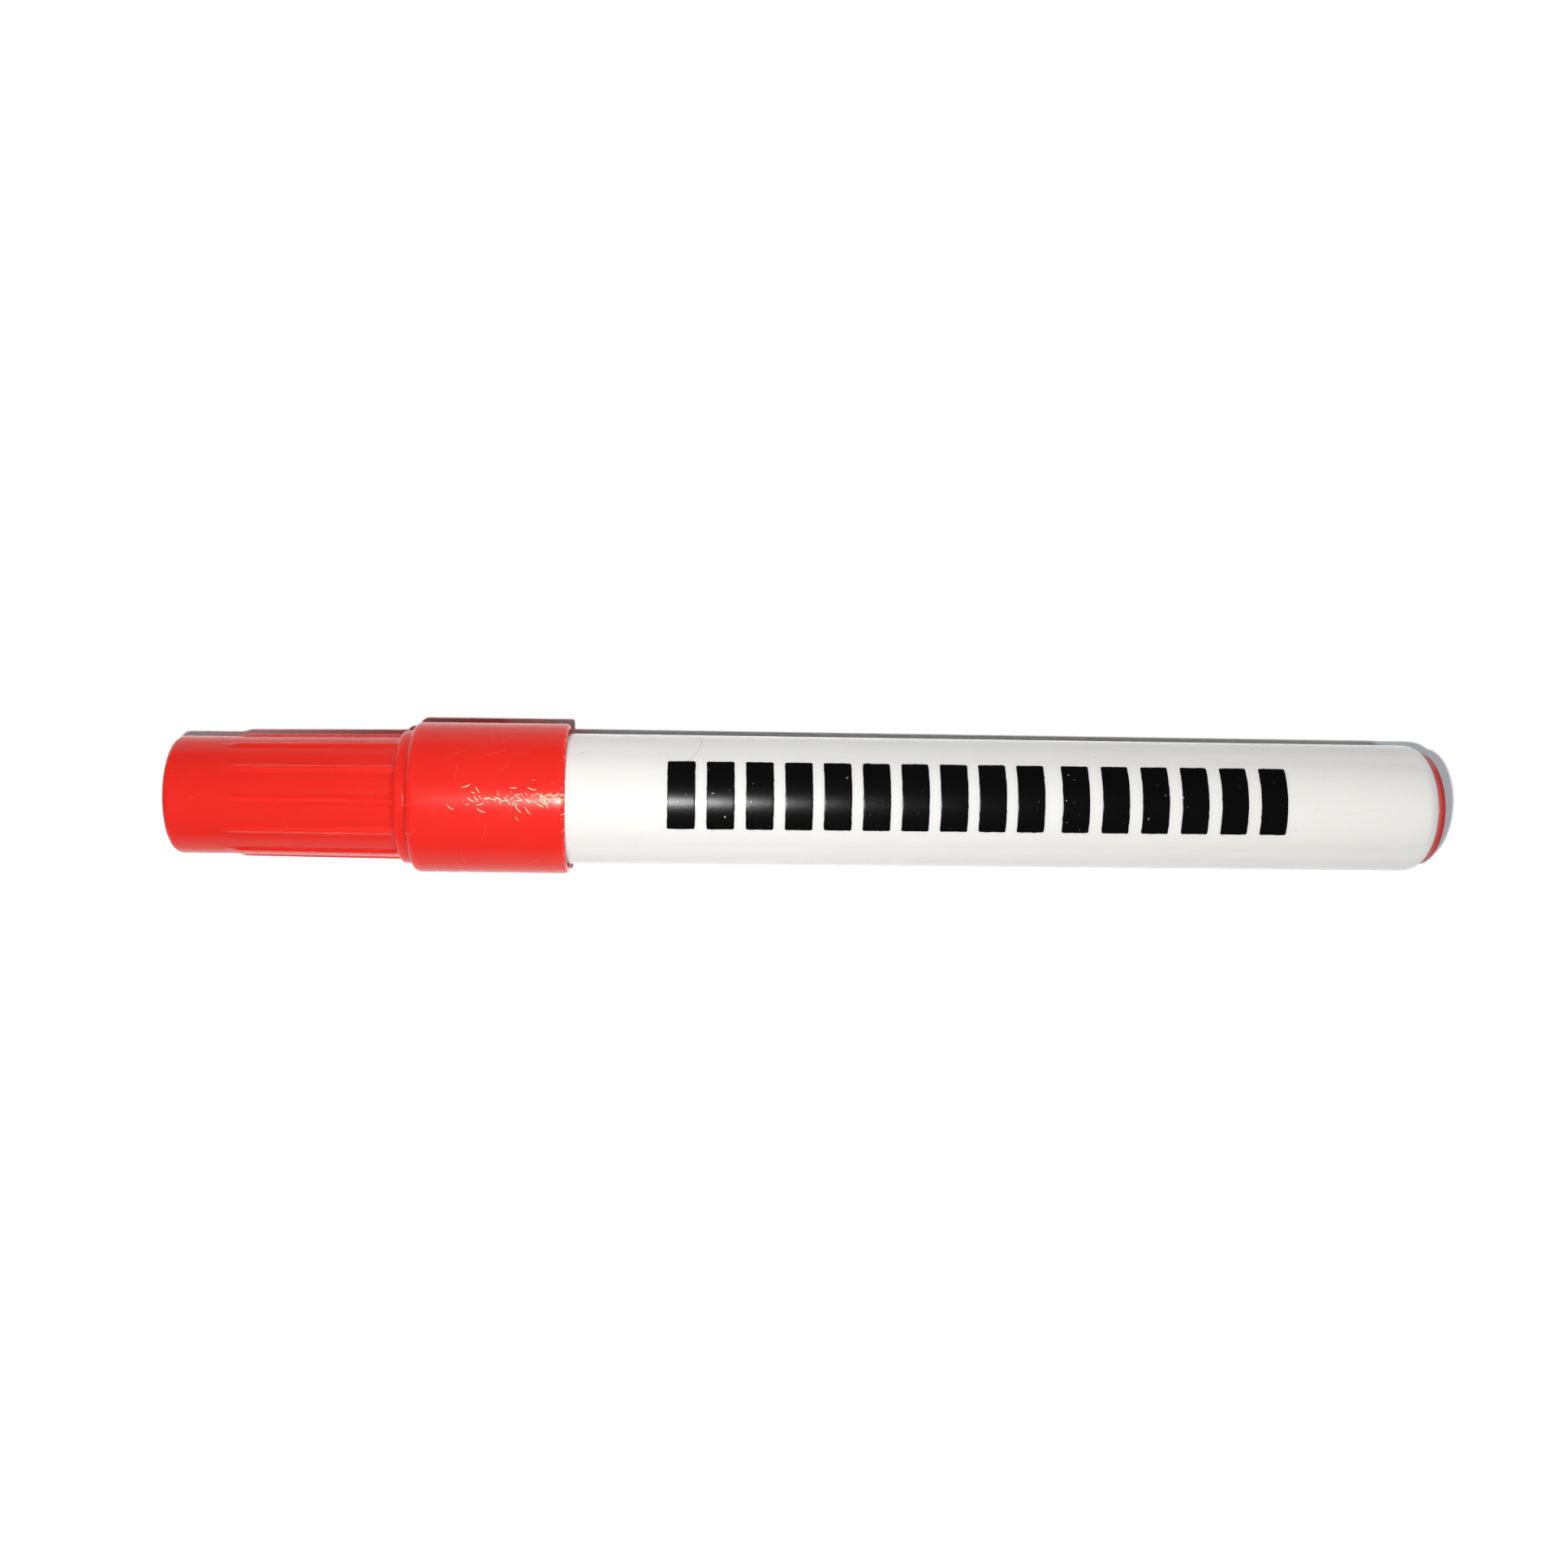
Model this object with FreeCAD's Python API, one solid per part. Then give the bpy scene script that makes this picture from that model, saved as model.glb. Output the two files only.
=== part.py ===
"""Whiteboard marker lying on its side, with its cap on.

The pen's axis runs along X, from the closed end of the cap (-X) to the tail plug (+X).
Z points up and Z = 0 is the surface that the cap's rim rests on.
The origin is under the middle of the pen. All sizes are millimetres.
Stations are distances along the pen, measured from the closed end of the cap.
"""
import FreeCAD, Part
import math
import os

# Whole pen
LENGTH = 135.2
BARREL_RADIUS = 7.0
RIM_RADIUS = 8.05           # the cap's widest place
AXIS_HEIGHT = RIM_RADIUS

# Fits, as gaps between radii
RUNNING_GAP = 0.03          # pieces that slide or turn on each other
SEAT_GAP = 0.02             # pieces pushed together for good

# Cap: slim ribbed grip, collar, then a wider skirt over the barrel
CAP_LENGTH = 40.9
CAP_END_WALL = 1.2
CAP_TIP_RADIUS = 6.18
CAP_TIP_ROUNDING = 0.75
GRIP_START_RADIUS = 6.21
GRIP_END_RADIUS = 6.4
CAP_BORE_RADIUS = 5.1
GRIP_START = 6.1
COLLAR_START = 23.3
COLLAR_RADIUS = 7.1
COLLAR_ROUNDING = 0.65
COLLAR_END = 24.45
COLLAR_BACK_ROUNDING = 0.15
SHOULDER_ROOT = 24.6        # station of the crease between collar and shoulder
SHOULDER_ROOT_RADIUS = 6.85
SHOULDER_LEAN = 0.15
SHOULDER_RADIUS = 7.98      # where the skirt begins; it widens from here to the rim
SHOULDER_ROUNDING = 0.95
SKIRT_BORE_RADIUS = 7.12
SKIRT_BORE_START = 25.5
BORE_FUNNEL_START = 24.3
BORE_FUNNEL_RADIUS = 6.2
RIM_ROUNDING = 0.35
RIM_LEAD_IN = 0.3
END_DIMPLE_RADIUS = 1.1
END_DIMPLE_DEPTH = 0.15

# Outside ribs of the cap
GRIP_RIBS = 12
GRIP_RIB_RADIUS = 0.42      # radius of each rib's round back
GRIP_RIB_HEIGHT_START = 0.24
GRIP_RIB_HEIGHT_END = 0.27
GRIP_RIB_TURN = 4.2         # degrees from the top of the pen to the nearest rib

# Inside ribs of the skirt, which grip the barrel's neck
GRIPPERS = 8
GRIPPER_WIDTH = 0.8
GRIPPER_START = 26.6
GRIPPER_END = 38.8

# Barrel
BARREL_START = 27.4
BARREL_END = 134.3
BARREL_BORE_RADIUS = 5.6
NECK_RADIUS = 6.8
NECK_END = 39.9
NECK_STEP = 1.4             # length of the slope from the neck to the full barrel
FRONT_CHAMFER = 0.3
TAIL_ROUNDING = 2.0
TAIL_RIM_RADIUS = 6.3
TAIL_BORE_RADIUS = 5.45
TAIL_BORE_START = 125.6
BARREL_RIBS = 6
BARREL_RIB_WIDTH = 0.7
BARREL_RIB_RADIUS = 5.12    # where the ribs inside the barrel end
BARREL_RIB_START = 38.0
BARREL_RIB_END = 125.2

# Snap rings that hold the nib holder and the tail plug in the barrel
SNAP_HEIGHT = 0.16
SNAP_WIDTH = 1.0
FRONT_SNAP = 31.4
TAIL_SNAP = 129.9

# Nib holder
NOSE_START = 12.9
NOSE_RADIUS = 2.8
SEAL_START = 16.0
SEAL_END = 20.8
SEAL_RADIUS = 4.17
THROAT_START = 21.6
THROAT_RADIUS = 4.75
FLANGE_START = 26.1
FLANGE_RADIUS = 6.5
HOLDER_END = 35.8
POCKET_START = 28.8         # ring-shaped pocket in the holder's rear, so that its walls are even
POCKET_RADIUS = 4.5
SPIGOT_END = 37.6
SPIGOT_RADIUS = 3.3
VENTS = 3
VENT_WIDTH = 0.6
VENT_DEPTH = 0.4

# Nib
NIB_RADIUS = 2.05
NIB_TIP = 7.4
NIB_TIP_FLAT = 0.95
NIB_TAPER_LENGTH = 2.3
NIB_REAR_TAPER_START = 44.4
NIB_REAR = 46.9
NIB_REAR_RADIUS = 0.6

# Ink reservoir and its film
RESERVOIR_START = 38.4
RESERVOIR_END = 125.0
RESERVOIR_RADIUS = 4.95
FILM_THICKNESS = 0.1
FILM_OVERHANG = 0.3

# Liner inside the cap
LINER_START = CAP_END_WALL + 0.05
LINER_END = 21.2
LINER_END_WALL = 0.8
LINER_RADIUS = CAP_BORE_RADIUS - RUNNING_GAP
LINER_BORE_RADIUS = 4.3
LINER_MOUTH_RADIUS = 4.65
LINER_MOUTH_LENGTH = 0.9
SEAL_BEAD = 18.4
SEAL_BEAD_WIDTH = 1.2

# Tail plug
PLUG_HEAD_RADIUS = 6.25
PLUG_HEAD_ROUNDING = 0.35
PLUG_START = 125.8
PLUG_BORE_RADIUS = 4.3
PLUG_FLOOR = 133.3
PLUG_RECESS_RADIUS = 3.2
PLUG_RECESS_DEPTH = 0.35


def point(station, radius):
    """A point straight above the pen's axis."""
    return FreeCAD.Vector(station - LENGTH / 2, 0, AXIS_HEIGHT + radius)


def outline(corners):
    """A closed wire through (station, radius) or (station, radius, rounding) corners."""
    count = len(corners)
    entries = []
    exits = []
    middles = []
    for index in range(count):
        here = point(*corners[index][:2])
        rounding = corners[index][2] if len(corners[index]) > 2 else 0
        to_last = (point(*corners[index - 1][:2]) - here).normalize()
        to_next = (point(*corners[(index + 1) % count][:2]) - here).normalize()
        if rounding:
            half_angle = to_last.getAngle(to_next) / 2
            reach = rounding / math.tan(half_angle)
            inward = (to_last + to_next).normalize()
            middles.append(here + inward * (rounding / math.sin(half_angle) - rounding))
            entries.append(here + to_last * reach)
            exits.append(here + to_next * reach)
        else:
            middles.append(None)
            entries.append(here)
            exits.append(here)
    edges = []
    for index in range(count):
        if middles[index]:
            edges.append(Part.Arc(entries[index], middles[index], exits[index]).toShape())
        end = entries[(index + 1) % count]
        if exits[index].distanceToPoint(end) > 1e-5:
            edges.append(Part.LineSegment(exits[index], end).toShape())
    return Part.Wire(edges)


def turned(corners):
    """A solid of revolution about the pen's axis."""
    face = Part.Face(outline(corners))
    solid = face.revolve(point(0, 0), FreeCAD.Vector(1, 0, 0), 360)
    return solid


def ring(start, end, inner, outer):
    """A plain tube about the pen's axis."""
    return turned([(start, inner), (start, outer), (end, outer), (end, inner)])


def around_axis(shape, count, first=0.0):
    """Evenly spaced copies of a shape about the pen's axis, the first turned by some degrees."""
    copies = []
    for index in range(count):
        copy = shape.copy()
        copy.rotate(point(0, 0), FreeCAD.Vector(1, 0, 0), first + index * 360 / count)
        copies.append(copy)
    return copies


def spoke(start, end, inner, outer, width):
    """A flat bar above the axis, from one radius to another."""
    corner = point(start, inner) - FreeCAD.Vector(0, width / 2, 0)
    return Part.makeBox(end - start, width, outer - inner, corner)


def ribs_inside(start, end, inner, outer, width, count, lead_in):
    """Straight ribs on a bore: they reach in to the inner radius and start with a ramp."""
    sleeve = turned([
        (start, outer),
        (end, outer),
        (end, inner + lead_in),
        (end - 2 * lead_in, inner),
        (start + 2 * lead_in, inner),
        (start, inner + lead_in),
    ])
    bars = around_axis(spoke(start, end, inner - 1, outer + 1, width), count)
    return [sleeve.common(bar) for bar in bars]


def snap_corners(middle, radius, rising):
    """Corners of a rounded snap ring on an outline at a radius, in order of station."""
    corners = [
        (middle - SNAP_WIDTH / 2, radius),
        (middle - SNAP_WIDTH / 4, radius + SNAP_HEIGHT),
        (middle + SNAP_WIDTH / 4, radius + SNAP_HEIGHT),
        (middle + SNAP_WIDTH / 2, radius),
    ]
    return corners if rising else corners[::-1]


def make_cap():
    shell = turned([
        (END_DIMPLE_DEPTH, 0),
        (END_DIMPLE_DEPTH, END_DIMPLE_RADIUS),
        (0, END_DIMPLE_RADIUS + END_DIMPLE_DEPTH),
        (0, CAP_TIP_RADIUS, CAP_TIP_ROUNDING),
        (GRIP_START, GRIP_START_RADIUS),
        (COLLAR_START, GRIP_END_RADIUS),
        (COLLAR_START, COLLAR_RADIUS, COLLAR_ROUNDING),
        (COLLAR_END, COLLAR_RADIUS, COLLAR_BACK_ROUNDING),
        (SHOULDER_ROOT, SHOULDER_ROOT_RADIUS),
        (SHOULDER_ROOT + SHOULDER_LEAN, SHOULDER_RADIUS, SHOULDER_ROUNDING),
        (CAP_LENGTH, RIM_RADIUS, RIM_ROUNDING),
        (CAP_LENGTH, SKIRT_BORE_RADIUS + RIM_LEAD_IN),
        (CAP_LENGTH - RIM_LEAD_IN, SKIRT_BORE_RADIUS),
        (SKIRT_BORE_START, SKIRT_BORE_RADIUS, 0.25),
        (SKIRT_BORE_START, BORE_FUNNEL_RADIUS, 0.2),
        (BORE_FUNNEL_START, CAP_BORE_RADIUS),
        (CAP_END_WALL, CAP_BORE_RADIUS),
        (CAP_END_WALL, 0),
    ])
    ribs = around_axis(grip_rib(), GRIP_RIBS, GRIP_RIB_TURN)
    grippers = ribs_inside(GRIPPER_START, GRIPPER_END, NECK_RADIUS + RUNNING_GAP,
                           SKIRT_BORE_RADIUS + 0.2, GRIPPER_WIDTH, GRIPPERS, 0.15)
    return shell.fuse(ribs + grippers)


def grip_rib():
    """One outside rib: a round bar, mostly sunk in the grip, with a ball at its front end."""
    sunk_start = GRIP_START_RADIUS + GRIP_RIB_HEIGHT_START - GRIP_RIB_RADIUS
    sunk_end = GRIP_END_RADIUS + GRIP_RIB_HEIGHT_END - GRIP_RIB_RADIUS
    front = point(GRIP_START + GRIP_RIB_RADIUS, sunk_start)
    back = point(COLLAR_START + COLLAR_ROUNDING, sunk_end)
    bar = Part.makeCylinder(GRIP_RIB_RADIUS, front.distanceToPoint(back), front, back - front)
    ball = Part.makeSphere(GRIP_RIB_RADIUS, front)
    return bar.fuse(ball)


def make_inner_cap():
    bead_radius = SEAL_RADIUS + RUNNING_GAP
    return turned([
        (LINER_START, 0),
        (LINER_START, LINER_RADIUS, 0.3),
        (LINER_END, LINER_RADIUS, 0.1),
        (LINER_END, LINER_MOUTH_RADIUS),
        (LINER_END - LINER_MOUTH_LENGTH, LINER_BORE_RADIUS),
        (SEAL_BEAD + SEAL_BEAD_WIDTH / 2, LINER_BORE_RADIUS),
        (SEAL_BEAD + SEAL_BEAD_WIDTH / 4, bead_radius),
        (SEAL_BEAD - SEAL_BEAD_WIDTH / 4, bead_radius),
        (SEAL_BEAD - SEAL_BEAD_WIDTH / 2, LINER_BORE_RADIUS),
        (LINER_START + LINER_END_WALL, LINER_BORE_RADIUS, 0.4),
        (LINER_START + LINER_END_WALL, 0),
    ])


def make_barrel():
    # The tail rounds over on an arc that leaves the side smoothly and ends at the tail's rim.
    fall = BARREL_RADIUS - TAIL_RIM_RADIUS
    end_slope = math.acos(1 - fall / TAIL_ROUNDING)
    round_corner = BARREL_END - fall / math.tan(end_slope)
    shell = turned([
        (BARREL_START, NECK_RADIUS - FRONT_CHAMFER),
        (BARREL_START + FRONT_CHAMFER, NECK_RADIUS),
        (NECK_END, NECK_RADIUS),
        (NECK_END + NECK_STEP, BARREL_RADIUS),
        (round_corner, BARREL_RADIUS, TAIL_ROUNDING),
        (BARREL_END, TAIL_RIM_RADIUS),
        (BARREL_END, TAIL_BORE_RADIUS),
        *snap_corners(TAIL_SNAP, TAIL_BORE_RADIUS, rising=False),
        (TAIL_BORE_START, TAIL_BORE_RADIUS),
        (TAIL_BORE_START, BARREL_BORE_RADIUS),
        *snap_corners(FRONT_SNAP, BARREL_BORE_RADIUS, rising=False),
        (BARREL_START, BARREL_BORE_RADIUS),
    ])
    ribs = ribs_inside(BARREL_RIB_START, BARREL_RIB_END, BARREL_RIB_RADIUS,
                       BARREL_BORE_RADIUS + 0.3, BARREL_RIB_WIDTH, BARREL_RIBS, 0.2)
    return shell.fuse(ribs)


def make_nib_holder():
    seat = BARREL_BORE_RADIUS - SEAT_GAP
    bore = NIB_RADIUS + SEAT_GAP
    body = turned([
        (NOSE_START, bore),
        (NOSE_START, NOSE_RADIUS, 0.25),
        (SEAL_START, SEAL_RADIUS, 0.8),
        (SEAL_END, SEAL_RADIUS),
        (THROAT_START, THROAT_RADIUS, 0.3),
        (FLANGE_START, THROAT_RADIUS, 0.3),
        (FLANGE_START, FLANGE_RADIUS, 0.3),
        (BARREL_START, FLANGE_RADIUS),
        (BARREL_START, seat),
        *snap_corners(FRONT_SNAP, seat, rising=True),
        (HOLDER_END, seat, 0.3),
        (HOLDER_END, POCKET_RADIUS),
        (POCKET_START, POCKET_RADIUS, 0.3),
        (POCKET_START, SPIGOT_RADIUS, 0.3),
        (SPIGOT_END, SPIGOT_RADIUS, 0.4),
        (SPIGOT_END, bore),
    ])
    vent = spoke(NOSE_START - 1, SPIGOT_END + 1, 0, bore + VENT_DEPTH, VENT_WIDTH)
    return body.cut(around_axis(vent, VENTS, 180 / VENTS))


def nib_shape(gap):
    """The nib, or the pocket that holds it with a gap all round."""
    radius = NIB_RADIUS + gap
    return turned([
        (NIB_TIP, 0),
        (NIB_TIP, NIB_TIP_FLAT + gap, 0.7),
        (NIB_TIP + NIB_TAPER_LENGTH, radius, 3.0),
        (NIB_REAR_TAPER_START, radius),
        (NIB_REAR + gap, NIB_REAR_RADIUS + gap),
        (NIB_REAR + gap, 0),
    ])


def make_ink_reservoir():
    rod = turned([
        (RESERVOIR_START, 0),
        (RESERVOIR_START, RESERVOIR_RADIUS),
        (RESERVOIR_END, RESERVOIR_RADIUS),
        (RESERVOIR_END, 0),
    ])
    return rod.cut(nib_shape(SEAT_GAP))


def make_reservoir_wrap():
    inner = RESERVOIR_RADIUS + SEAT_GAP
    return ring(RESERVOIR_START - FILM_OVERHANG, RESERVOIR_END + FILM_OVERHANG,
                inner, inner + FILM_THICKNESS)


def make_tail_plug():
    seat = TAIL_BORE_RADIUS - SEAT_GAP
    return turned([
        (PLUG_START, PLUG_BORE_RADIUS + 0.3),
        (PLUG_START, seat - 0.3),
        (PLUG_START + 0.6, seat),
        *snap_corners(TAIL_SNAP, seat, rising=True),
        (BARREL_END, seat),
        (BARREL_END, PLUG_HEAD_RADIUS),
        (LENGTH, PLUG_HEAD_RADIUS, PLUG_HEAD_ROUNDING),
        (LENGTH, PLUG_RECESS_RADIUS, 0.15),
        (LENGTH - PLUG_RECESS_DEPTH, PLUG_RECESS_RADIUS - 0.2),
        (LENGTH - PLUG_RECESS_DEPTH, 0),
        (PLUG_FLOOR, 0),
        (PLUG_FLOOR, PLUG_BORE_RADIUS, 0.4),
        (PLUG_START + 0.6, PLUG_BORE_RADIUS),
    ])


def main():
    os.makedirs("parts", exist_ok=True)
    pieces = {
        "barrel": make_barrel(),
        "nib_holder": make_nib_holder(),
        "nib": nib_shape(0),
        "ink_reservoir": make_ink_reservoir(),
        "reservoir_wrap": make_reservoir_wrap(),
        "tail_plug": make_tail_plug(),
        "cap": make_cap(),
        "inner_cap": make_inner_cap(),
    }
    for name, shape in pieces.items():
        solid = shape.Solids[0]
        print(name, "solids", len(shape.Solids), "valid", solid.isValid(),
              "volume", round(solid.Volume, 1), "mm3")
        solid.exportStep(f"parts/{name}.step")


main()
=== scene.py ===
import math
import random

import bpy
from mathutils import Matrix, Vector, noise


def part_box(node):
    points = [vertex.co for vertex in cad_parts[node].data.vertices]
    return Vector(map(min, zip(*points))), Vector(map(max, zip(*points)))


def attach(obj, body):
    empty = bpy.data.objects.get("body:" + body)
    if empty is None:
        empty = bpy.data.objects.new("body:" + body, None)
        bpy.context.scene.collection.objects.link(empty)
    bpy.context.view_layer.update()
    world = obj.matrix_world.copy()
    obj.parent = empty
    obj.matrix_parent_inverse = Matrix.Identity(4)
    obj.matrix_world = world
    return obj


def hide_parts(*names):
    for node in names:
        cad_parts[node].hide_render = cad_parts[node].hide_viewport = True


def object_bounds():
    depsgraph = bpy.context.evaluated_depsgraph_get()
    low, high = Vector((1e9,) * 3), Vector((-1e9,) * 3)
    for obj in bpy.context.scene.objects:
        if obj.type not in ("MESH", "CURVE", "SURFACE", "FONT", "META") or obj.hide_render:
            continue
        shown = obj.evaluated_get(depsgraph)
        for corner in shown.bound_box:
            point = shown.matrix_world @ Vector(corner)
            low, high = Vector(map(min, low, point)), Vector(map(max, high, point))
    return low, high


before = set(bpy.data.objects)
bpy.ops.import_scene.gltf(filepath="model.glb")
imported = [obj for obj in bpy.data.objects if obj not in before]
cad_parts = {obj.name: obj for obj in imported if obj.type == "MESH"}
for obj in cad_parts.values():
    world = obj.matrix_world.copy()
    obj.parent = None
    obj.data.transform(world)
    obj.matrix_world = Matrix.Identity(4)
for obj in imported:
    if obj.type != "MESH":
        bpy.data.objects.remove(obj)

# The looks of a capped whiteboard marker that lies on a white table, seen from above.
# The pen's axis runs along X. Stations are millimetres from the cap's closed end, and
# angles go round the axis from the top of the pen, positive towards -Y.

MM = 0.001
cad_low, cad_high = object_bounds()

barrel_low, barrel_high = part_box("barrel")
cap_low, cap_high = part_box("cap")
plug_low, plug_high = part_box("tail_plug")
CAP_END_X = cap_low.x
AXIS_Z = (cap_low.z + cap_high.z) / 2
LENGTH = (cad_high.x - cad_low.x) / MM
BARREL_RADIUS = (barrel_high.z - barrel_low.z) / 2 / MM
RIM_RADIUS = (cap_high.y - cap_low.y) / 2 / MM - 0.003
CAP_LENGTH = (cap_high.x - cap_low.x) / MM
BARREL_START = (barrel_low.x - CAP_END_X) / MM
BARREL_END = (barrel_high.x - CAP_END_X) / MM

# Cap
CAP_END_WALL = 1.2
CAP_TIP_RADIUS = 6.18
GRIP_START = 6.1
GRIP_START_RADIUS = 6.21
GRIP_END_RADIUS = 6.4
CAP_BORE_RADIUS = 5.1
COLLAR_START = 23.3
COLLAR_END = 24.45
COLLAR_RADIUS = 7.1
SHOULDER_ROOT = 24.6
SHOULDER_RADIUS = 7.98
SKIRT_BORE_RADIUS = 7.12
SKIRT_BORE_START = 25.5
GRIP_RIBS = 12
RIB_HALF_WIDTH = 0.55
RIB_HEIGHT_START = 0.24
RIB_HEIGHT_END = 0.27
RIB_TURN = 4.2

# Barrel and tail plug
NECK_RADIUS = 6.8
NECK_END = 39.9
NECK_STEP = 1.4
TAIL_ROUNDING = 2.0
TAIL_RIM_RADIUS = 6.3
BARREL_BORE_RADIUS = 5.6
TAIL_BORE_RADIUS = 5.45
TAIL_BORE_START = 125.6
PLUG_HEAD_RADIUS = (plug_high.z - plug_low.z) / 2 / MM
PLUG_START = 125.8
PLUG_BORE_RADIUS = 4.3
PLUG_FLOOR = 133.3
PLUG_RECESS_RADIUS = 3.2
PLUG_RECESS_DEPTH = 0.35

# Printed row on the barrel: two groups of plain blocks
PRINT_GROUPS = ((51.4, 10, 4.09), (93.0, 6, 4.29))      # first block's start, blocks, pitch
BLOCK_WIDTH = 2.9
BLOCK_FAR = -35.0            # degrees
BLOCK_NEAR = 26.0
BLOCK_CORNER = 0.22
INK_THICKNESS = 0.03
ROUGH_EDGE = 0.035           # how far the ink's edge wanders, in long and short waves
FINE_EDGE = 0.018
BURRS = 3
PRINT_SEED = 4

# Marks on the barrel: specks (station, arc, size, darkness) and one hair-thin curved scratch
SPECKS = (
    (42.5, -5.2, 0.11, 0.75),
    (50.7, -5.3, 0.09, 0.45),
    (118.4, 2.6, 0.07, 0.5),
    (97.0, -5.6, 0.07, 0.4),
    (63.0, 4.1, 0.06, 0.4),
)
HAIR_CENTRE = (50.4, -7.6, BARREL_RADIUS)
HAIR_RADIUS = 4.55
HAIR_START = 53.2
HAIR_END = 53.7

ARC_STEP = math.radians(9)
SHARP_EDGE = math.radians(38)


# ---------------------------------------------------------------- turned shapes

def rounded(corners):
    """Points along a closed outline of (station, radius[, rounding]) corners, with arcs."""
    points = []
    for index, corner in enumerate(corners):
        here = Vector(corner[:2])
        if len(corner) == 2:
            points.append(here)
            continue
        back = (Vector(corners[index - 1][:2]) - here).normalized()
        ahead = (Vector(corners[(index + 1) % len(corners)][:2]) - here).normalized()
        half = back.angle(ahead) / 2
        centre = here + (back + ahead).normalized() * corner[2] / math.sin(half)
        spoke = here + back * corner[2] / math.tan(half) - centre
        turn = math.pi - 2 * half
        side = math.copysign(1, ahead.x * back.y - ahead.y * back.x)
        steps = max(2, math.ceil(turn / ARC_STEP))
        for step in range(steps + 1):
            points.append(centre + Matrix.Rotation(side * turn * step / steps, 2) @ spoke)
    return points


def spaced(points, longest):
    """The same open line of points, with more of them wherever two are far apart."""
    line = [points[0]]
    for last, here in zip(points, points[1:]):
        steps = max(1, math.ceil((here - last).length / longest))
        for step in range(1, steps + 1):
            line.append(last.lerp(here, step / steps))
    return line


def on_pen(station, radius, angle):
    """A point at a station, radius and angle, in metres."""
    across = -radius * math.sin(angle) * MM
    height = AXIS_Z + radius * math.cos(angle) * MM
    return Vector((CAP_END_X + station * MM, across, height))


def new_piece(name, verts, faces, material, body):
    mesh = bpy.data.meshes.new(name)
    mesh.from_pydata(verts, [], faces)
    mesh.validate()
    mesh.update()
    mesh.shade_smooth()
    mesh.set_sharp_from_angle(angle=SHARP_EDGE)
    mesh.materials.append(material)
    piece = bpy.data.objects.new(name, mesh)
    bpy.context.scene.collection.objects.link(piece)
    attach(piece, body)
    return piece


def lathe(corners, angles, longest=2.0, relief=None):
    """Vertices and faces of a closed solid turned about the pen's axis."""
    line = spaced(rounded(corners), longest)
    on_axis = corners[0][1] == 0
    verts = []
    rings = []
    for station, radius in line:
        if radius < 1e-6:
            rings.append([len(verts)])
            verts.append(on_pen(station, 0, 0))
            continue
        rings.append(range(len(verts), len(verts) + len(angles)))
        for angle in angles:
            here = relief(station, radius, angle) if relief else radius
            verts.append(on_pen(station, here, angle))
    if not on_axis:
        rings.append(rings[0])
    faces = []
    count = len(angles)
    for ring, following in zip(rings, rings[1:]):
        for index in range(count):
            after = (index + 1) % count
            if len(ring) == 1:
                faces.append((ring[0], following[index], following[after]))
            elif len(following) == 1:
                faces.append((ring[after], ring[index], following[0]))
            else:
                faces.append((ring[after], ring[index], following[index], following[after]))
    return verts, faces


def even_angles(count):
    return [2 * math.pi * index / count for index in range(count)]


# ---------------------------------------------------------------- materials

def new_material(name, **inputs):
    """A material with its node tree and its main shader, whose sockets are set by name."""
    material = bpy.data.materials.new(name)
    material.use_nodes = True
    shader = material.node_tree.nodes["Principled BSDF"]
    for socket, value in inputs.items():
        shader.inputs[socket.replace("_", " ")].default_value = value
    return material, material.node_tree, shader


def add(tree, kind, *values, **settings):
    """A node with its settings, and its inputs in order: None, a value or another's output."""
    node = tree.nodes.new("ShaderNode" + kind)
    for key, value in settings.items():
        setattr(node, key, value)
    for socket, value in zip(node.inputs, values):
        if isinstance(value, bpy.types.NodeSocket):
            tree.links.new(value, socket)
        elif value is not None:
            socket.default_value = value
    return node


def math_node(tree, operation, *values):
    return add(tree, "Math", *values, operation=operation).outputs[0]


def mix_colors(tree, factor, first, second):
    node = add(tree, "Mix", data_type="RGBA")
    for socket, value in zip((node.inputs[0], node.inputs[6], node.inputs[7]), (factor, first, second)):
        if isinstance(value, bpy.types.NodeSocket):
            tree.links.new(value, socket)
        else:
            socket.default_value = value
    return node.outputs[2]


def ramp(tree, value, start, end, low=0.0, high=1.0):
    """A smooth step of a value: low before start, high after end."""
    node = add(tree, "MapRange", value, start, end, low, high, interpolation_type="SMOOTHSTEP")
    return node.outputs[0]


def unrolled(tree):
    """The surface laid flat, in millimetres: station, arc round the pen, and radius."""
    place = add(tree, "TexCoord").outputs["Object"]
    split = add(tree, "SeparateXYZ", place)
    station = math_node(tree, "MULTIPLY_ADD", split.outputs[0], 1 / MM, -CAP_END_X / MM)
    across = math_node(tree, "MULTIPLY", split.outputs[1], -1 / MM)
    height = math_node(tree, "MULTIPLY_ADD", split.outputs[2], 1 / MM, -AXIS_Z / MM)
    angle = math_node(tree, "ARCTAN2", across, height)
    arc = math_node(tree, "MULTIPLY", angle, BARREL_RADIUS)
    square = math_node(tree, "MULTIPLY", across, across)
    radius = math_node(tree, "SQRT", math_node(tree, "MULTIPLY_ADD", height, height, square))
    flat = add(tree, "CombineXYZ", station, arc, radius).outputs[0]
    return flat, station, arc


def noise_of(tree, vector, scale, stretch=(1, 1, 1), turn=0.0, shift=0.0, detail=2.0, roughness=0.5):
    """Noise on the unrolled surface; scale is per millimetre, stretch squeezes each direction."""
    placed = add(tree, "Mapping", vector, (shift, shift, shift), (0, 0, math.radians(turn)), stretch)
    node = add(tree, "TexNoise", placed.outputs[0], None, scale, detail, roughness)
    return node.outputs["Fac"]


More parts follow.
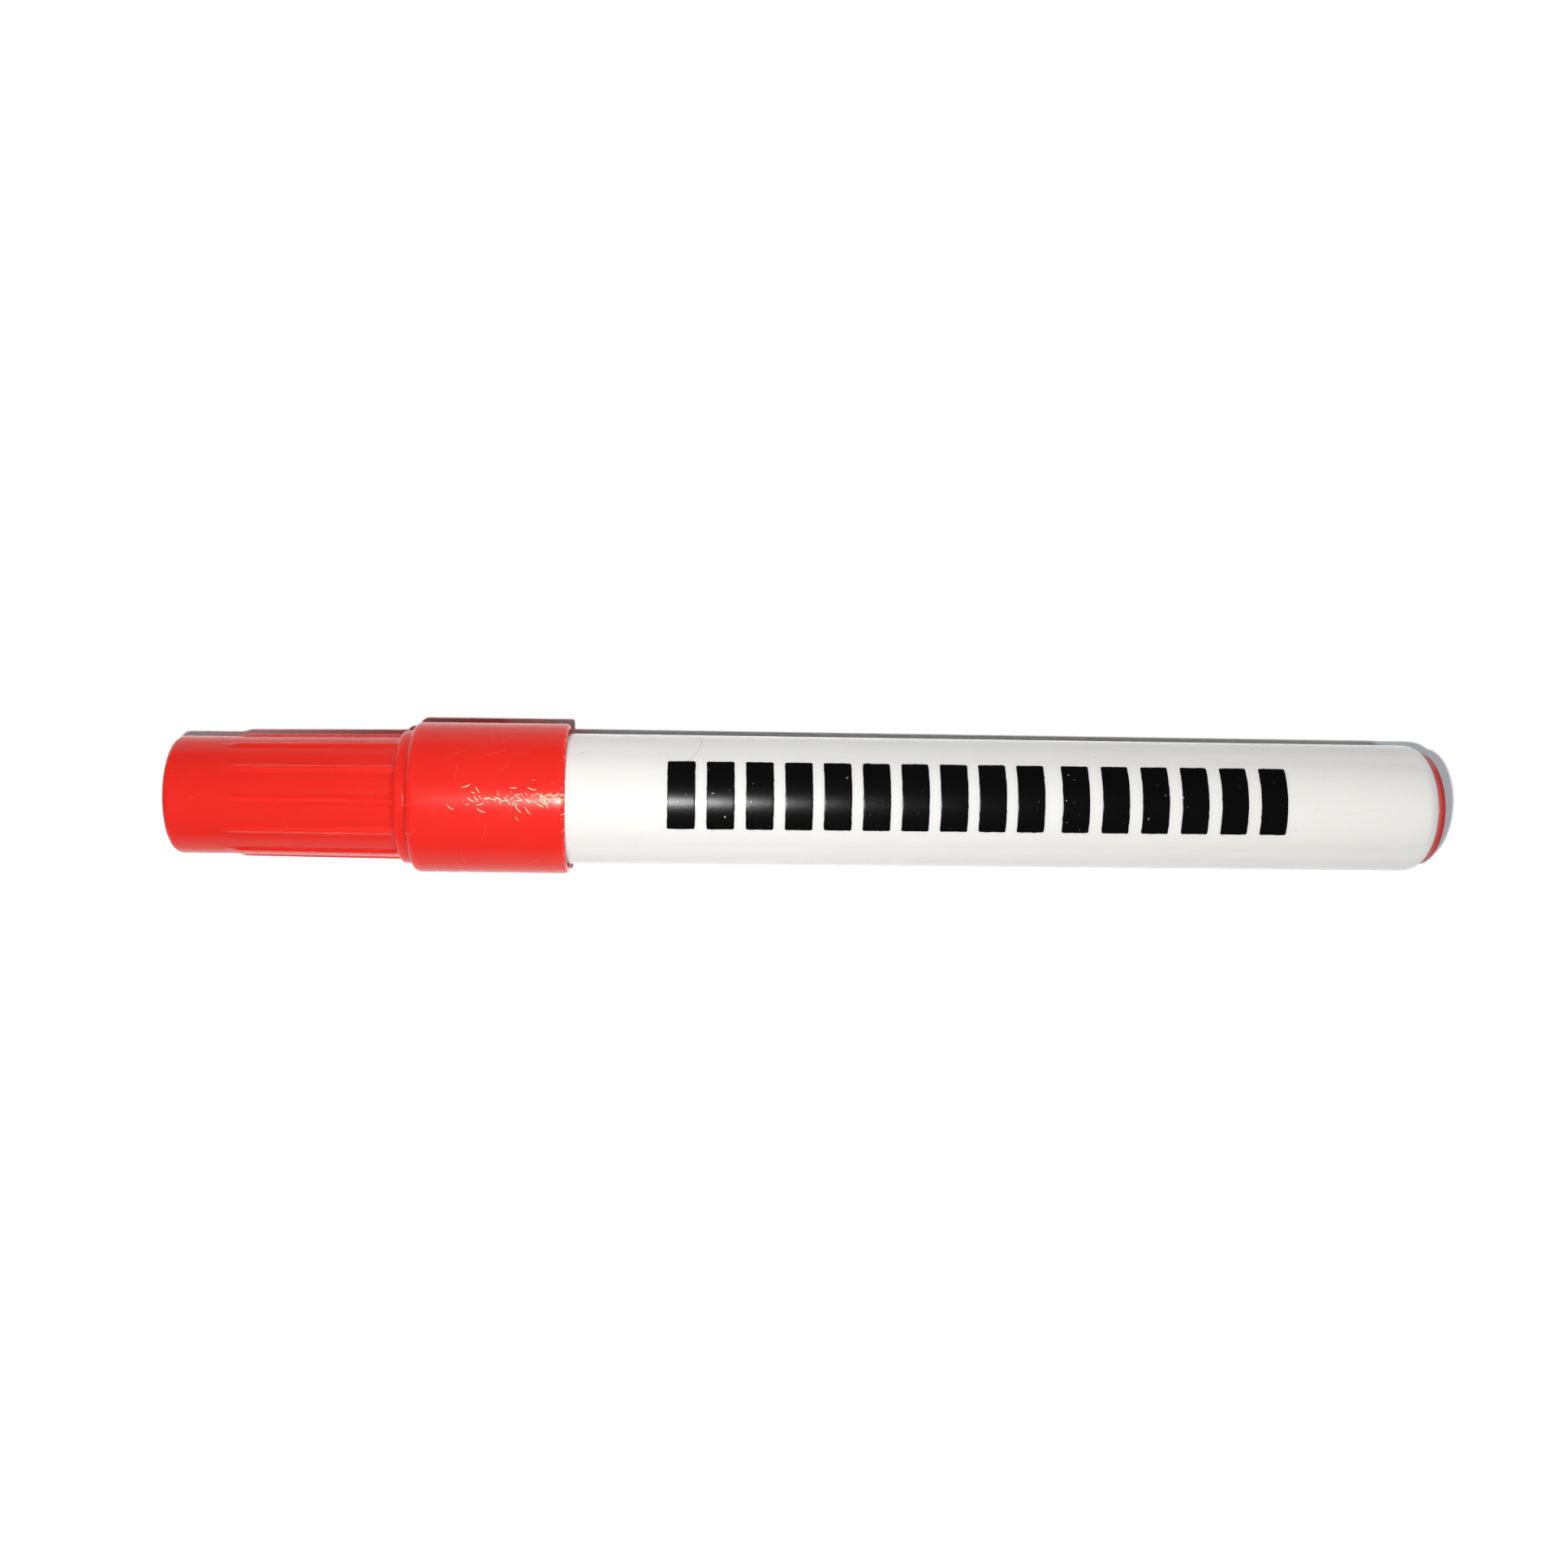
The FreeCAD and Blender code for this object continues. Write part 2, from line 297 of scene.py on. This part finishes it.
def strokes(tree, vector, cell, length, width, turns, shift, share, curve=0.0):
    """Short marks scattered one to a cell, each turned its own way: 1 on a mark.
    Sizes are millimetres, turns a range in degrees, and share the part of the cells in use."""
    placed = add(tree, "Mapping", vector, (shift, shift, 0), None, (1 / cell, 1 / cell, 0))
    cells = add(tree, "TexVoronoi", placed.outputs[0], None, 1.0, voronoi_dimensions="2D")
    chance = add(tree, "SeparateXYZ", cells.outputs["Color"])
    offset = add(tree, "VectorMath", placed.outputs[0], cells.outputs["Position"], operation="SUBTRACT")
    turn = add(tree, "MapRange", chance.outputs[0], 0.0, 1.0, *[math.radians(turn) for turn in turns])
    turned = add(tree, "VectorRotate", offset.outputs[0], None, None, turn.outputs[0],
                 rotation_type="Z_AXIS")
    place = add(tree, "SeparateXYZ", turned.outputs[0])
    bow = math_node(tree, "MULTIPLY", place.outputs[0], place.outputs[0])
    off = math_node(tree, "ABSOLUTE", math_node(tree, "MULTIPLY_ADD", bow, curve, place.outputs[1]))
    reach = math_node(tree, "ABSOLUTE", place.outputs[0])
    line = ramp(tree, off, 0.25 * width / cell, width / cell, 1.0, 0.0)
    ends = ramp(tree, reach, 0.2 * length / cell, 0.5 * length / cell, 1.0, 0.0)
    used = math_node(tree, "LESS_THAN", chance.outputs[1], share)
    return math_node(tree, "MULTIPLY", math_node(tree, "MULTIPLY", line, ends), used)


def bump(tree, height, distance, strength=1.0, normal=None):
    return add(tree, "Bump", strength, distance, None, height, normal).outputs[0]


def make_red_plastic():
    """Satin red moulding: translucent, rubbed on the skirt, with nicks along the rim. Along the
    skirt's top line the rubbed scratches carry painted glints and a painted sheen where the
    flash's highlight falls, brightest towards the rim.
    """
    material, tree, shader = new_material(
        "cap_plastic", IOR=1.49, Subsurface_Weight=1.0, Subsurface_Scale=0.0020,
        Subsurface_Radius=(1.0, 0.12, 0.08), Specular_IOR_Level=0.11)
    flat, station, arc = unrolled(tree)
    cloud = noise_of(tree, flat, 0.12, shift=7)
    red = mix_colors(tree, cloud, (0.60, 0.0190, 0.0130, 1), (0.64, 0.0245, 0.0170, 1))

    # Where the skirt gets handled, pale scratches crowd towards the rim. Along the top line they
    # are painted bright as glints, standing in for the flash's highlight catching the scratches
    off_middle = math_node(tree, "ABSOLUTE", math_node(tree, "ADD", arc, -0.1))
    along = ramp(tree, station, 27.0, 39.5)
    wear_and_sheen_core = math_node(tree, "MULTIPLY", ramp(tree, off_middle, 0.0, 0.75, 1.0, 0.0), along)
    wear_and_glint_band = math_node(tree, "MULTIPLY", ramp(tree, off_middle, 0.3, 2.6, 1.0, 0.0), along)
    crumbs = strokes(tree, flat, 0.42, 0.50, 0.045, (-70, 70), 3, wear_and_sheen_core, 0.25)
    crumbs_low = strokes(tree, flat, 0.65, 0.80, 0.050, (-65, 20), 13, wear_and_sheen_core, 0.25)
    short = strokes(tree, flat, 1.0, 1.1, 0.050, (-65, 20), 21, wear_and_glint_band, 0.3)
    long = strokes(tree, flat, 2.1, 2.2, 0.050, (-70, 10), 34,
                   math_node(tree, "MULTIPLY", wear_and_glint_band, 0.6), 0.3)
    scuffs_and_glints = math_node(tree, "MAXIMUM", math_node(tree, "MAXIMUM", crumbs, crumbs_low),
                       math_node(tree, "MAXIMUM", short, long))

    # A few fine scratches anywhere, and nicks along the rim's edge
    fine = math_node(tree, "MAXIMUM", strokes(tree, flat, 3.1, 2.2, 0.035, (20, 120), 55, 0.16, 0.3),
                     strokes(tree, flat, 4.3, 3.0, 0.035, (-20, 25), 71, 0.20, 0.2))
    edge = ramp(tree, station, CAP_LENGTH - 0.40, CAP_LENGTH - 0.22)
    dents = ramp(tree, noise_of(tree, flat, 2.6, (0.6, 1, 1), 0, 31, 2.0), 0.56, 0.66)
    nicks = math_node(tree, "MULTIPLY", edge, dents)

    # Lighter red along the top line: rubbed plastic plus a painted sheen of the flash's highlight
    color = mix_colors(tree, math_node(tree, "MULTIPLY", wear_and_sheen_core, 0.10), red, (1.0, 0.12, 0.06, 1))
    # Pale yellow-white strokes: real scratches, painted bright as glints of the flash's highlight
    color = mix_colors(tree, math_node(tree, "MULTIPLY", scuffs_and_glints, 0.9), color, (1.0, 0.75, 0.50, 1))
    color = mix_colors(tree, math_node(tree, "MULTIPLY", fine, 0.15), color, (1.0, 0.30, 0.22, 1))
    color = mix_colors(tree, math_node(tree, "MULTIPLY", nicks, 0.35), color, (1.0, 0.38, 0.30, 1))
    tree.links.new(color, shader.inputs["Base Color"])

    marks = math_node(tree, "MAXIMUM", math_node(tree, "MAXIMUM", scuffs_and_glints, fine), nicks)
    satin = math_node(tree, "MULTIPLY_ADD", cloud, 0.06, 0.20)
    tree.links.new(math_node(tree, "MULTIPLY_ADD", marks, 0.2, satin), shader.inputs["Roughness"])
    grain = noise_of(tree, flat, 5.0, (0.5, 1, 1), detail=2)
    skin = bump(tree, grain, 0.0015 * MM)
    tree.links.new(bump(tree, marks, -0.010 * MM, 0.8, skin), shader.inputs["Normal"])
    return material


def make_white_plastic(name, tone, specks=()):
    """Glossy white moulding with faint lengthwise streaks and hairline scratches. The barrel's
    has a few specks and a hair-thin curved scratch too, and is painted lighter and warmer
    towards the tail, light painted in where the flash's light falls off."""
    material, tree, shader = new_material(
        name, IOR=1.49, Subsurface_Weight=0.45, Subsurface_Scale=0.0016,
        Subsurface_Radius=(1.0, 0.85, 0.7))
    flat, station, arc = unrolled(tree)
    streaks = noise_of(tree, flat, 0.7, (0.06, 1, 1), shift=5, detail=3)
    clouds = noise_of(tree, flat, 0.09, shift=17)
    light = (*tone, 1)
    dull = (tone[0] * 0.965, tone[1] * 0.955, tone[2] * 0.935, 1)
    color = mix_colors(tree, streaks, light, dull)
    color = mix_colors(tree, ramp(tree, clouds, 0.4, 0.7, 0.0, 0.35), color, dull)
    # Painted light: lighter and warmer towards the tail, making up for the flash falling off there
    color = mix_colors(tree, ramp(tree, station, 70, 130, 0.0, 0.8), color, (0.695, 0.66, 0.62, 1))
    fine = strokes(tree, flat, 4.0, 3.0, 0.035, (50, 130), 2, 0.18, 0.3)
    long = strokes(tree, flat, 7.0, 6.0, 0.035, (-12, 12), 29, 0.25, 0.1)
    scratches = math_node(tree, "MAXIMUM", fine, long)
    color = mix_colors(tree, math_node(tree, "MULTIPLY", scratches, 0.16), color, (0.40, 0.37, 0.33, 1))
    for speck_station, speck_arc, size, darkness in specks:
        gap = add(tree, "VectorMath", flat, (speck_station, speck_arc, BARREL_RADIUS),
                  operation="DISTANCE").outputs["Value"]
        spot = ramp(tree, gap, size * 0.4, size, darkness, 0.0)
        color = mix_colors(tree, spot, color, (0.12, 0.10, 0.09, 1))
    if specks:
        gap = add(tree, "VectorMath", flat, HAIR_CENTRE, operation="DISTANCE").outputs["Value"]
        off = math_node(tree, "ABSOLUTE", math_node(tree, "SUBTRACT", gap, HAIR_RADIUS))
        hair = math_node(tree, "MULTIPLY", ramp(tree, off, 0.015, 0.055, 0.55, 0.0),
                         ramp(tree, station, HAIR_START, HAIR_END))
        color = mix_colors(tree, hair, color, (0.25, 0.23, 0.21, 1))
    tree.links.new(color, shader.inputs["Base Color"])
    tree.links.new(math_node(tree, "MULTIPLY_ADD", streaks, 0.08, 0.12), shader.inputs["Roughness"])
    grain = noise_of(tree, flat, 6.0, (0.3, 1, 1), detail=3, shift=13)
    skin = bump(tree, grain, 0.0015 * MM)
    tree.links.new(bump(tree, scratches, -0.008 * MM, 0.7, skin), shader.inputs["Normal"])
    return material


def make_ink():
    """Screen-printed black: a raised grainy film with pinholes."""
    material, tree, shader = new_material("print_ink", IOR=1.5, Specular_IOR_Level=0.13)
    flat, station, arc = unrolled(tree)
    grain = noise_of(tree, flat, 7.0, shift=3, detail=4, roughness=0.7)
    holes = ramp(tree, noise_of(tree, flat, 2.3, (1, 1, 1), 20, 9, 4.0, 0.62), 0.715, 0.73)
    black = mix_colors(tree, grain, (0.0015, 0.0015, 0.0016, 1), (0.0035, 0.0035, 0.0035, 1))
    color = mix_colors(tree, holes, black, (0.55, 0.53, 0.50, 1))
    tree.links.new(color, shader.inputs["Base Color"])
    tree.links.new(math_node(tree, "MULTIPLY_ADD", grain, 0.16, 0.16), shader.inputs["Roughness"])
    tree.links.new(bump(tree, grain, 0.010 * MM), shader.inputs["Normal"])
    return material


def make_plug_plastic():
    material, tree, shader = new_material(
        "plug_plastic", IOR=1.49, Subsurface_Weight=0.2, Subsurface_Scale=0.0008,
        Subsurface_Radius=(1.0, 0.12, 0.08))
    flat, station, arc = unrolled(tree)
    cloud = noise_of(tree, flat, 0.35, shift=4)
    color = mix_colors(tree, cloud, (0.34, 0.026, 0.019, 1), (0.40, 0.036, 0.026, 1))
    swirl = noise_of(tree, flat, 5.0, (1, 0.25, 1), detail=3, shift=8)
    scratches = strokes(tree, flat, 2.2, 1.8, 0.04, (-80, 80), 15, 0.5, 0.4)
    color = mix_colors(tree, math_node(tree, "MULTIPLY", scratches, 0.25), color, (0.75, 0.30, 0.24, 1))
    # Painted sheen: lighter pink on the head's edge beside the barrel, standing in for light caught
    # there
    sheen_by_barrel = ramp(tree, station, BARREL_END + 0.1, BARREL_END + 0.5, 0.4, 0.0)
    color = mix_colors(tree, sheen_by_barrel, color, (0.58, 0.14, 0.14, 1))
    tree.links.new(color, shader.inputs["Base Color"])
    tree.links.new(math_node(tree, "MULTIPLY_ADD", swirl, 0.18, 0.28), shader.inputs["Roughness"])
    tree.links.new(bump(tree, swirl, 0.003 * MM), shader.inputs["Normal"])
    return material


def make_felt(name, dry, soaked):
    """Pressed fibre: fine strands along the pen, darker where the ink has gathered."""
    material, tree, shader = new_material(name, IOR=1.4, Sheen_Weight=0.4, Sheen_Roughness=0.6)
    flat, station, arc = unrolled(tree)
    strands = noise_of(tree, flat, 9.0, (0.12, 1, 1), detail=4, roughness=0.65)
    patches = noise_of(tree, flat, 0.8, (0.5, 1, 1), shift=6)
    color = mix_colors(tree, strands, (*soaked, 1), (*dry, 1))
    color = mix_colors(tree, ramp(tree, patches, 0.35, 0.65, 0.0, 0.6), color, (*soaked, 1))
    tree.links.new(color, shader.inputs["Base Color"])
    tree.links.new(math_node(tree, "MULTIPLY_ADD", strands, 0.2, 0.72), shader.inputs["Roughness"])
    tree.links.new(bump(tree, strands, 0.05 * MM, 0.9), shader.inputs["Normal"])
    return material


def make_film():
    material, tree, shader = new_material("film", IOR=1.49, Alpha=0.35, Roughness=0.2)
    flat, station, arc = unrolled(tree)
    wrinkles = noise_of(tree, flat, 0.6, (0.2, 1, 1), detail=3)
    color = mix_colors(tree, wrinkles, (0.80, 0.74, 0.72, 1), (0.92, 0.88, 0.86, 1))
    tree.links.new(color, shader.inputs["Base Color"])
    tree.links.new(bump(tree, wrinkles, 0.05 * MM, 0.6), shader.inputs["Normal"])
    return material


# ---------------------------------------------------------------- pieces

def rib_angles():
    """Angles round the cap: close together on the ribs, wide apart between them."""
    edge = math.degrees(1.1 * RIB_HALF_WIDTH / GRIP_START_RADIUS)
    gap = 360 / GRIP_RIBS - 2 * edge
    on_rib = [-edge + 2 * edge * index / 16 for index in range(17)]
    between = [edge + gap * index / 8 for index in range(1, 8)]
    angles = []
    for rib in range(GRIP_RIBS):
        turn = RIB_TURN + 360 * rib / GRIP_RIBS
        angles += [math.radians(turn + angle) for angle in on_rib + between]
    return angles


def grip_relief(station, radius, angle):
    """The cap's outside radius with its ribs, soft swellings that run into the collar."""
    if radius < CAP_BORE_RADIUS + 0.5 or not GRIP_START - 0.5 < station < COLLAR_END:
        return radius
    pitch = 2 * math.pi / GRIP_RIBS
    off = (angle - math.radians(RIB_TURN) + pitch / 2) % pitch - pitch / 2
    share = (station - GRIP_START) / (COLLAR_START - GRIP_START)
    base = GRIP_START_RADIUS + (GRIP_END_RADIUS - GRIP_START_RADIUS) * share
    height = RIB_HEIGHT_START + (RIB_HEIGHT_END - RIB_HEIGHT_START) * share
    before = max(0, GRIP_START + RIB_HALF_WIDTH - station)
    reach = math.hypot(base * off, before) / RIB_HALF_WIDTH
    swell = max(0, 1 - reach ** 2) ** 2
    return max(radius, base + height * swell)


def make_cap(material):
    corners = [
        (0.15, 0),
        (0.15, 1.1, 0.1),
        (0, 1.3, 0.1),
        (0, CAP_TIP_RADIUS, 0.75),
        (GRIP_START, GRIP_START_RADIUS),
        (COLLAR_START - 0.15, GRIP_END_RADIUS, 0.5),
        (COLLAR_START + 0.3, COLLAR_RADIUS - 0.03, 0.6),
        (COLLAR_END, COLLAR_RADIUS, 0.1),
        (SHOULDER_ROOT, COLLAR_RADIUS - 0.03, 0.12),
        (SHOULDER_ROOT + 0.15, SHOULDER_RADIUS, 0.9),
        (CAP_LENGTH, RIM_RADIUS, 0.35),
        (CAP_LENGTH, SKIRT_BORE_RADIUS + 0.3, 0.08),
        (CAP_LENGTH - 0.3, SKIRT_BORE_RADIUS, 0.1),
        (SKIRT_BORE_START, SKIRT_BORE_RADIUS, 0.25),
        (SKIRT_BORE_START, 6.2, 0.2),
        (SKIRT_BORE_START - 1.2, CAP_BORE_RADIUS),
        (CAP_END_WALL, CAP_BORE_RADIUS, 0.3),
        (CAP_END_WALL, 0),
    ]
    verts, faces = lathe(corners, rib_angles(), 0.9, grip_relief)
    cap = new_piece("cap_shell", verts, faces, material, "cap")
    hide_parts("cap")
    return cap


def make_barrel(material):
    fall = BARREL_RADIUS - TAIL_RIM_RADIUS
    end_slope = math.acos(1 - fall / TAIL_ROUNDING)
    round_corner = BARREL_END - fall / math.tan(end_slope)
    corners = [
        (BARREL_START, NECK_RADIUS - 0.3, 0.1),
        (BARREL_START + 0.3, NECK_RADIUS, 0.1),
        (NECK_END, NECK_RADIUS, 2.0),
        (NECK_END + NECK_STEP, BARREL_RADIUS, 2.0),
        (round_corner, BARREL_RADIUS, TAIL_ROUNDING - 0.1),
        (BARREL_END, TAIL_RIM_RADIUS, 0.08),
        (BARREL_END, TAIL_BORE_RADIUS),
        (TAIL_BORE_START, TAIL_BORE_RADIUS),
        (TAIL_BORE_START, BARREL_BORE_RADIUS),
        (BARREL_START, BARREL_BORE_RADIUS),
    ]
    verts, faces = lathe(corners, even_angles(180))
    barrel = new_piece("barrel_tube", verts, faces, material, "barrel")
    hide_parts("barrel")
    return barrel


def make_tail_plug(material):
    seat = TAIL_BORE_RADIUS - 0.02
    corners = [
        (LENGTH - PLUG_RECESS_DEPTH + 0.12, 0),
        (LENGTH - PLUG_RECESS_DEPTH + 0.12, 0.5, 0.1),
        (LENGTH - PLUG_RECESS_DEPTH, 0.7, 0.1),
        (LENGTH - PLUG_RECESS_DEPTH, PLUG_RECESS_RADIUS - 0.2, 0.12),
        (LENGTH, PLUG_RECESS_RADIUS, 0.12),
        (LENGTH, PLUG_HEAD_RADIUS, 0.35),
        (BARREL_END, PLUG_HEAD_RADIUS, 0.08),
        (BARREL_END, seat),
        (PLUG_START + 0.6, seat),
        (PLUG_START, seat - 0.3),
        (PLUG_START, PLUG_BORE_RADIUS + 0.3),
        (PLUG_START + 0.6, PLUG_BORE_RADIUS),
        (PLUG_FLOOR, PLUG_BORE_RADIUS, 0.4),
        (PLUG_FLOOR, 0),
    ]
    verts, faces = lathe(corners, even_angles(144), 1.0)
    plug = new_piece("tail_plug_moulding", verts, faces, material, "barrel")
    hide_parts("tail_plug")
    return plug


def ink_block(start, chance):
    """Vertices and faces of one printed block, a thin closed plate bent round the barrel."""
    far = math.radians(BLOCK_FAR) * BARREL_RADIUS
    near = math.radians(BLOCK_NEAR) * BARREL_RADIUS
    half_width = BLOCK_WIDTH / 2
    centre = Vector((start + half_width, (far + near) / 2))
    half_height = (near - far) / 2
    corner = BLOCK_CORNER
    # From the middle of the far side, round the near corner of the right half
    loop = [Vector(((half_width - corner) * step / 6, -half_height)) for step in range(7)]
    for step in range(1, 5):
        turn = math.pi / 2 * step / 5
        loop.append(Vector((half_width - corner + corner * math.sin(turn),
                            -half_height + corner - corner * math.cos(turn))))
    corner_points = loop[:11]
    for step in range(41):
        loop.append(Vector((half_width, -half_height + corner + (half_height - corner) * step / 20)))
    # The same corner again at the near side, then the left half as a mirror image
    loop += [Vector((point.x, -point.y)) for point in corner_points[:0:-1]]
    loop.append(Vector((0, half_height)))
    loop += [Vector((-point.x, point.y)) for point in loop[-2:0:-1]]
    count = len(loop)
    seed = chance.uniform(0, 100)
    wobble = []
    for point in loop:
        rough = noise.noise(Vector((point.x * 1.7, point.y * 1.7, seed)))
        fine = noise.noise(Vector((point.x * 6, point.y * 6, seed + 5)))
        wobble.append(ROUGH_EDGE * rough + FINE_EDGE * fine)
    for burr in range(BURRS):
        wobble[chance.randrange(count)] += chance.uniform(0.02, 0.06)
    # Inset and height above the barrel, from the sunk underside to the top
    rings = ((0.0, -0.02), (0.0, 0.004), (0.03, 0.018), (0.09, 0.027), (0.2, INK_THICKNESS))
    verts = []
    for inset, height in rings:
        for point, out in zip(loop, wobble):
            grow = Vector((1 + (out - inset) / half_width, 1 + (out - inset) / half_height))
            place = centre + Vector((point.x * grow.x, point.y * grow.y))
            verts.append(on_pen(place.x, BARREL_RADIUS + height, place.y / BARREL_RADIUS))
    faces = []
    for ring in range(len(rings) - 1):
        for index in range(count):
            after = (index + 1) % count
            base = ring * count
            faces.append((base + index, base + after, base + count + after, base + count + index))
    for base, flip in ((0, True), ((len(rings) - 1) * count, False)):
        for index in range(count // 2):
            quad = [base + index, base + index + 1, base + (count - index - 1) % count,
                    base + (count - index) % count]
            quad = [corner for place, corner in enumerate(quad) if corner not in quad[:place]]
            faces.append(tuple(quad[::-1] if flip else quad))
    return verts, faces


def make_print(material):
    chance = random.Random(PRINT_SEED)
    verts = []
    faces = []
    for first, blocks, pitch in PRINT_GROUPS:
        for block in range(blocks):
            block_verts, block_faces = ink_block(first + block * pitch, chance)
            faces += [tuple(len(verts) + corner for corner in face) for face in block_faces]
            verts += block_verts
    printed = new_piece("barrel_print", verts, faces, material, "barrel")
    return printed


def dress(node, material):
    """A carried-over CAD piece gets its finish."""
    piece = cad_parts[node]
    piece.data.materials.clear()
    piece.data.materials.append(material)


white = make_white_plastic("barrel_plastic", (0.65, 0.64, 0.62), SPECKS)
section = make_white_plastic("section_plastic", (0.61, 0.60, 0.58))
make_cap(make_red_plastic())
make_barrel(white)
make_tail_plug(make_plug_plastic())
make_print(make_ink())
dress("nib_holder", section)
dress("inner_cap", make_white_plastic("liner_plastic", (0.59, 0.58, 0.55)))
dress("nib", make_felt("nib_felt", (0.70, 0.05, 0.04), (0.42, 0.012, 0.010)))
dress("ink_reservoir", make_felt("reservoir_felt", (0.75, 0.10, 0.08), (0.50, 0.03, 0.02)))
dress("reservoir_wrap", make_film())


# ---------------------------------------------------------------- camera, floor and light

scene = bpy.context.scene
scene.view_settings.view_transform = "Standard"

CAMERA_PLACE = Vector((-15.2, -1.0, 173.29)) * MM
CAMERA_TILT_X = math.radians(4.024)
CAMERA_TILT_Y = math.radians(0.991)
CAMERA_ROLL = math.radians(0.633)

forward = Vector((math.sin(CAMERA_TILT_X), math.sin(CAMERA_TILT_Y), -1)).normalized()
across = forward.cross(Vector((0, 1, 0))).normalized()
upward = across.cross(forward)
rolled_across = math.cos(CAMERA_ROLL) * across + math.sin(CAMERA_ROLL) * upward
rolled_upward = math.cos(CAMERA_ROLL) * upward - math.sin(CAMERA_ROLL) * across
camera_data = bpy.data.cameras.new("camera")
camera_data.sensor_width = 36
camera_data.lens = 35.03
camera_data.clip_start = 5 * MM
camera = bpy.data.objects.new("camera", camera_data)
camera.matrix_world = Matrix.Translation(CAMERA_PLACE) @ Matrix(
    (rolled_across, rolled_upward, -forward)).transposed().to_4x4()
scene.collection.objects.link(camera)
scene.camera = camera

# The flash beside the camera, bright enough to overexpose the table
FLASH_PLACE = Vector((-26.6, -12, 173)) * MM
FLASH_SIZE = 6 * MM
FLASH_POWER = 0.42
flash_data = bpy.data.lights.new("flash", "AREA")
flash_data.shape = "DISK"
flash_data.size = FLASH_SIZE
flash_data.energy = FLASH_POWER
flash = bpy.data.objects.new("flash", flash_data)
flash.location = FLASH_PLACE
scene.collection.objects.link(flash)

# A weaker, bluer light above the tail; it shows in no reflection
FILL_PLACE = Vector((75, -6.2, 90)) * MM
FILL_SIZE = 5 * MM
FILL_POWER = 0.020
FILL_COLOR = (0.82, 0.92, 1.0)
fill_data = bpy.data.lights.new("fill", "AREA")
fill_data.shape = "DISK"
fill_data.size = FILL_SIZE
fill_data.energy = FILL_POWER
fill_data.color = FILL_COLOR
fill = bpy.data.objects.new("fill", fill_data)
fill.location = FILL_PLACE
fill.visible_glossy = False
scene.collection.objects.link(fill)

world = bpy.data.worlds.new("world")
world.use_nodes = True
world.node_tree.nodes["Background"].inputs["Color"].default_value = (0.93, 0.97, 1.0, 1)
world.node_tree.nodes["Background"].inputs["Strength"].default_value = 0.02
scene.world = world


GLOW_CENTRE = (5 * MM, FLASH_PLACE.y, 0)
GLOW_START = 40 * MM
GLOW_END = 175 * MM
TABLE_HALF = 3.0


def make_floor():
    """A white table under the pen's two resting places, the cap's rim and the barrel's tail.
    It glows more the farther it lies from the pen, so that it stays evenly white."""
    material, tree, shader = new_material("floor", Roughness=0.9, Specular_IOR_Level=0.0,
                                          Base_Color=(0.95, 0.95, 0.95, 1),
                                          Emission_Color=(0.88, 0.95, 1.0, 1))
    place = add(tree, "NewGeometry").outputs["Position"]
    away = add(tree, "VectorMath", place, GLOW_CENTRE, operation="DISTANCE").outputs["Value"]
    glow = ramp(tree, away, GLOW_START, GLOW_END)
    tree.links.new(glow, shader.inputs["Emission Strength"])
    half = TABLE_HALF
    mesh = bpy.data.meshes.new("floor")
    mesh.from_pydata([(-half, -half, 0), (half, -half, 0), (half, half, 0), (-half, half, 0)],
                     [], [(0, 1, 2, 3)])
    mesh.materials.append(material)
    floor = bpy.data.objects.new("floor", mesh)
    tail_station = BARREL_END - TAIL_ROUNDING
    slope = math.atan((RIM_RADIUS - BARREL_RADIUS) / (tail_station - CAP_LENGTH))
    rim_x = CAP_END_X + CAP_LENGTH * MM
    floor.matrix_world = Matrix.Translation((rim_x, 0, 0)) @ Matrix.Rotation(-slope, 4, "Y")
    scene.collection.objects.link(floor)


make_floor()
